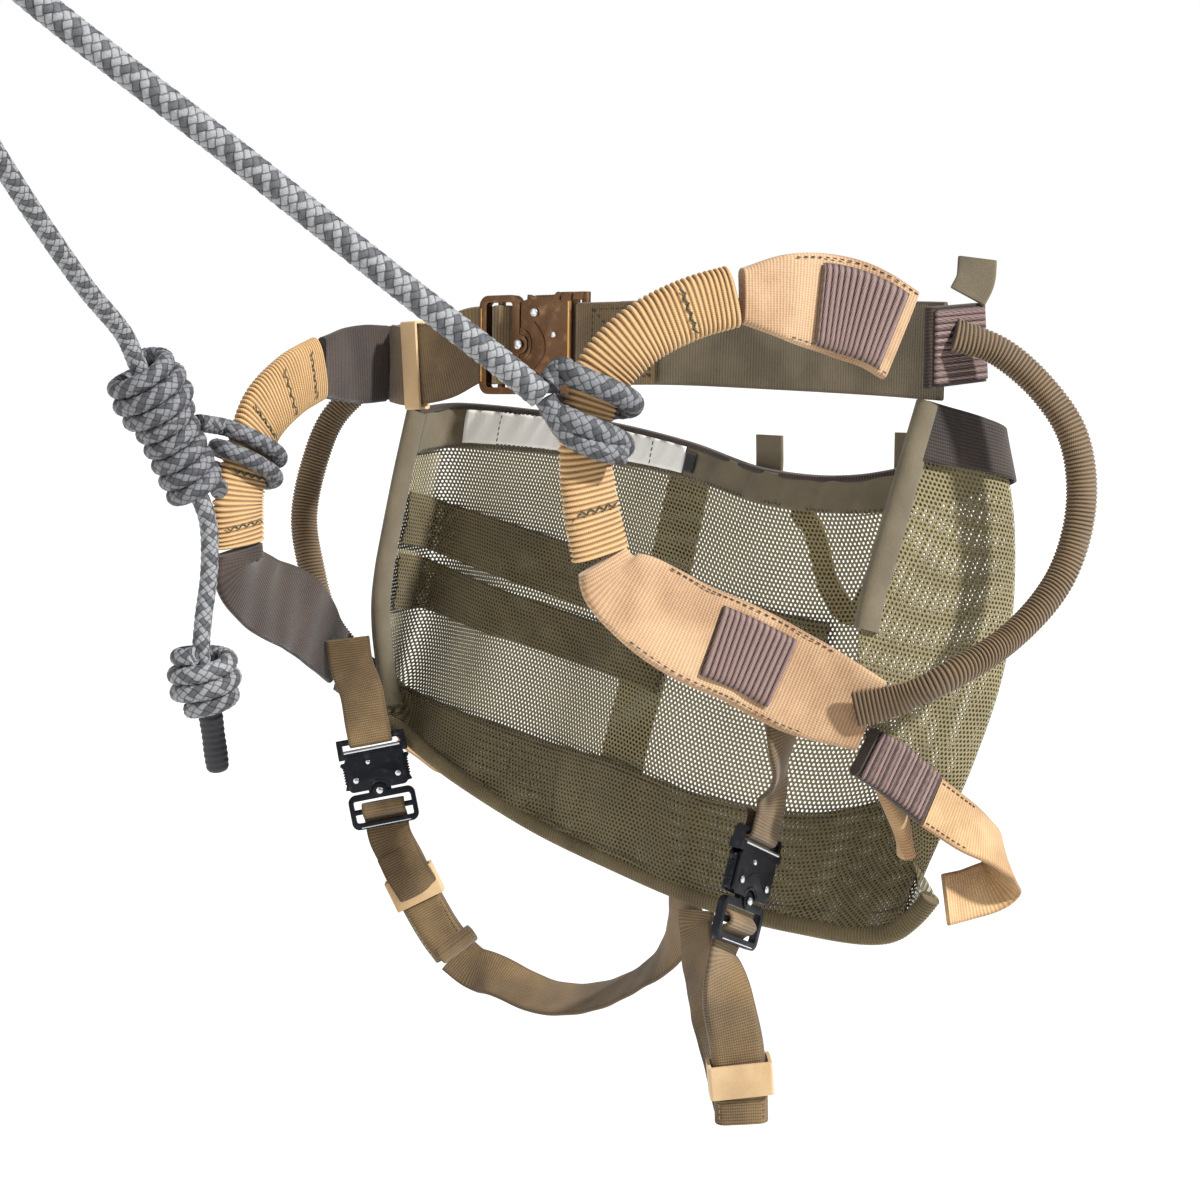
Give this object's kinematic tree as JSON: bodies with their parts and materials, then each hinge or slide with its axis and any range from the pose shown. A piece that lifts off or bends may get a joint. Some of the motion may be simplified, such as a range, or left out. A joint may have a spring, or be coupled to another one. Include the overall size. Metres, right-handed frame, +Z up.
{
  "type": "tree-climbing saddle",
  "caption": "Tree-climbing saddle: mesh sling seat on a webbing waist belt with a rope bridge, side loops, leg straps and metal quick-release buckles, hung from a hook.",
  "frame": {"origin": "inside of the hook's crown, where the whole object hangs", "axes": "+X to the wearer's left, -Y to the wearer's front, +Z up"},
  "size_m": [0.4835, 0.5697, 0.6469],
  "materials": {
    "tan": "woven webbing, matte",
    "ribbed_tan": "ribbed tubular webbing, matte",
    "coyote": "woven webbing, matte",
    "olive": "woven canvas, matte",
    "mesh": "open spacer mesh, matte",
    "dark_webbing": "woven webbing, matte",
    "label": "smooth white tape",
    "bronze": "anodised, satin",
    "black_metal": "anodised, satin",
    "steel": "polished",
    "rope": "braided cord",
    "rubber": "heat-shrink sleeve, matte"
  },
  "bodies": {
    "saddle": {"bridge_strap_near_upper": "tan", "bridge_strap_near_lower": "tan", "hem_edge_strap_near": "tan", "bridge_sleeve_near": "ribbed_tan", "bridge_sleeve_far": "ribbed_tan", "rear_loop_near": "ribbed_tan", "rear_loop_far": "ribbed_tan", "corner_stack_near_low": "coyote", "corner_stack_far_low": "coyote", "bridge_strap_far_upper": "coyote", "bridge_strap_far_lower": "coyote", "linesman_loop_near": "coyote", "linesman_loop_far": "coyote", "belt_far": "coyote", "leg_strap_far_upper": "coyote", "leg_strap_near_upper": "coyote", "top_band": "olive", "hem_band": "olive", "cross_band_upper": "olive", "cross_band_lower": "olive", "spine_band": "olive", "edge_binding_near": "olive", "edge_binding_far": "olive", "gear_tab": "olive", "rear_tab_centre": "olive", "rear_tab_side": "olive", "belt_near": "olive", "seat_panel": "mesh", "corner_stack_near_top": "dark_webbing", "corner_stack_far_top": "dark_webbing", "sewn_label": "label", "waist_buckle_frame": "bronze", "leg_buckle_far_socket": "black_metal", "leg_buckle_near_socket": "black_metal", "hook_body": "steel", "eye_hitch": "rope", "hitch_loop": "rope", "friction_hitch": "rope", "stopper_knot": "rope", "bridge_rope": "rope", "rope_end_cap": "rubber"},
    "waist_socket": {"waist_buckle_socket": "bronze", "belt_fold": "coyote"},
    "waist_lever_upper": {"waist_buckle_lever_upper": "bronze"},
    "waist_lever_lower": {"waist_buckle_lever_lower": "bronze"},
    "belt_keeper": {"belt_keeper": "tan"},
    "leg_far_lower": {"leg_buckle_far_frame": "black_metal", "leg_strap_far_lower": "coyote", "leg_slack_far": "coyote"},
    "leg_far_lever_upper": {"leg_buckle_far_lever_upper": "black_metal"},
    "leg_far_lever_lower": {"leg_buckle_far_lever_lower": "black_metal"},
    "leg_far_keeper": {"leg_keeper_far": "tan"},
    "leg_near_lower": {"leg_buckle_near_frame": "black_metal", "leg_strap_near_lower": "coyote", "leg_slack_near": "coyote"},
    "leg_near_lever_upper": {"leg_buckle_near_lever_upper": "black_metal"},
    "leg_near_lever_lower": {"leg_buckle_near_lever_lower": "black_metal"},
    "leg_near_keeper": {"leg_keeper_near": "tan"},
    "hook_gate": {"hook_gate": "steel"},
    "hook_lock": {"hook_lock": "steel"}
  },
  "joints": [
    {"name": "waist_release", "type": "slide", "parent": "saddle", "child": "waist_socket", "axis": [0.9794, 0.2009, 0.0201], "range_m": [0, 0.016]},
    {"name": "waist_lever_upper_press", "type": "hinge", "parent": "waist_socket", "child": "waist_lever_upper", "pos_m": [-0.07055, 0.47917, -0.23298], "axis": [0.1997, -0.9786, 0.0504], "range_deg": [0, 8], "stiffness_Nm_per_rad": 0.1, "springref_deg": -17.19},
    {"name": "waist_lever_lower_press", "type": "hinge", "parent": "waist_socket", "child": "waist_lever_lower", "pos_m": [-0.06953, 0.47763, -0.26693], "axis": [0.1997, -0.9786, 0.0504], "range_deg": [-8, 0], "stiffness_Nm_per_rad": 0.1, "springref_deg": 17.19},
    {"name": "belt_keeper_slide", "type": "slide", "parent": "saddle", "child": "belt_keeper", "axis": [0.9929, 0.1024, 0.0614], "range_m": [-0.003, 0.004]},
    {"name": "leg_far_release", "type": "slide", "parent": "saddle", "child": "leg_far_lower", "axis": [0.2014, 0.0705, -0.977], "range_m": [0, 0.0115]},
    {"name": "leg_far_lever_upper_press", "type": "hinge", "parent": "saddle", "child": "leg_far_lever_upper", "pos_m": [-0.168, 0.42266, -0.49985], "axis": [0.7504, -0.6522, 0.1077], "range_deg": [0, 8], "stiffness_Nm_per_rad": 0.1, "springref_deg": -17.19},
    {"name": "leg_far_lever_lower_press", "type": "hinge", "parent": "saddle", "child": "leg_far_lever_lower", "pos_m": [-0.15258, 0.44114, -0.49534], "axis": [0.7504, -0.6522, 0.1077], "range_deg": [-8, 0], "stiffness_Nm_per_rad": 0.1, "springref_deg": 17.19},
    {"name": "leg_far_keeper_slide", "type": "slide", "parent": "leg_far_lower", "child": "leg_far_keeper", "axis": [-0.3304, -0.2804, 0.9012], "range_m": [-0.003, 0.005]},
    {"name": "leg_near_release", "type": "slide", "parent": "saddle", "child": "leg_near_lower", "axis": [0.07, -0.4098, -0.9095], "range_m": [0, 0.0115]},
    {"name": "leg_near_lever_upper_press", "type": "hinge", "parent": "saddle", "child": "leg_near_lever_upper", "pos_m": [0.15236, 0.39973, -0.48661], "axis": [0.977, 0.2121, -0.0204], "range_deg": [0, 8], "stiffness_Nm_per_rad": 0.1, "springref_deg": -17.19},
    {"name": "leg_near_lever_lower_press", "type": "hinge", "parent": "saddle", "child": "leg_near_lever_lower", "pos_m": [0.14744, 0.42145, -0.49677], "axis": [0.977, 0.2121, -0.0204], "range_deg": [-8, 0], "stiffness_Nm_per_rad": 0.1, "springref_deg": 17.19},
    {"name": "leg_near_keeper_slide", "type": "slide", "parent": "leg_near_lower", "child": "leg_near_keeper", "axis": [0, -0.1191, 0.9929], "range_m": [-0.004, 0.008]},
    {"name": "hook_gate_open", "type": "hinge", "parent": "saddle", "child": "hook_gate", "pos_m": [0, 0.03856, -0.07123], "axis": [1, 0, 0], "range_deg": [-22, 0], "stiffness_Nm_per_rad": 0.2, "springref_deg": 22.92},
    {"name": "hook_lock_slide", "type": "slide", "parent": "hook_gate", "child": "hook_lock", "axis": [0, -0.7507, 0.6606], "range_m": [-0.012, 0.006]}
  ]
}
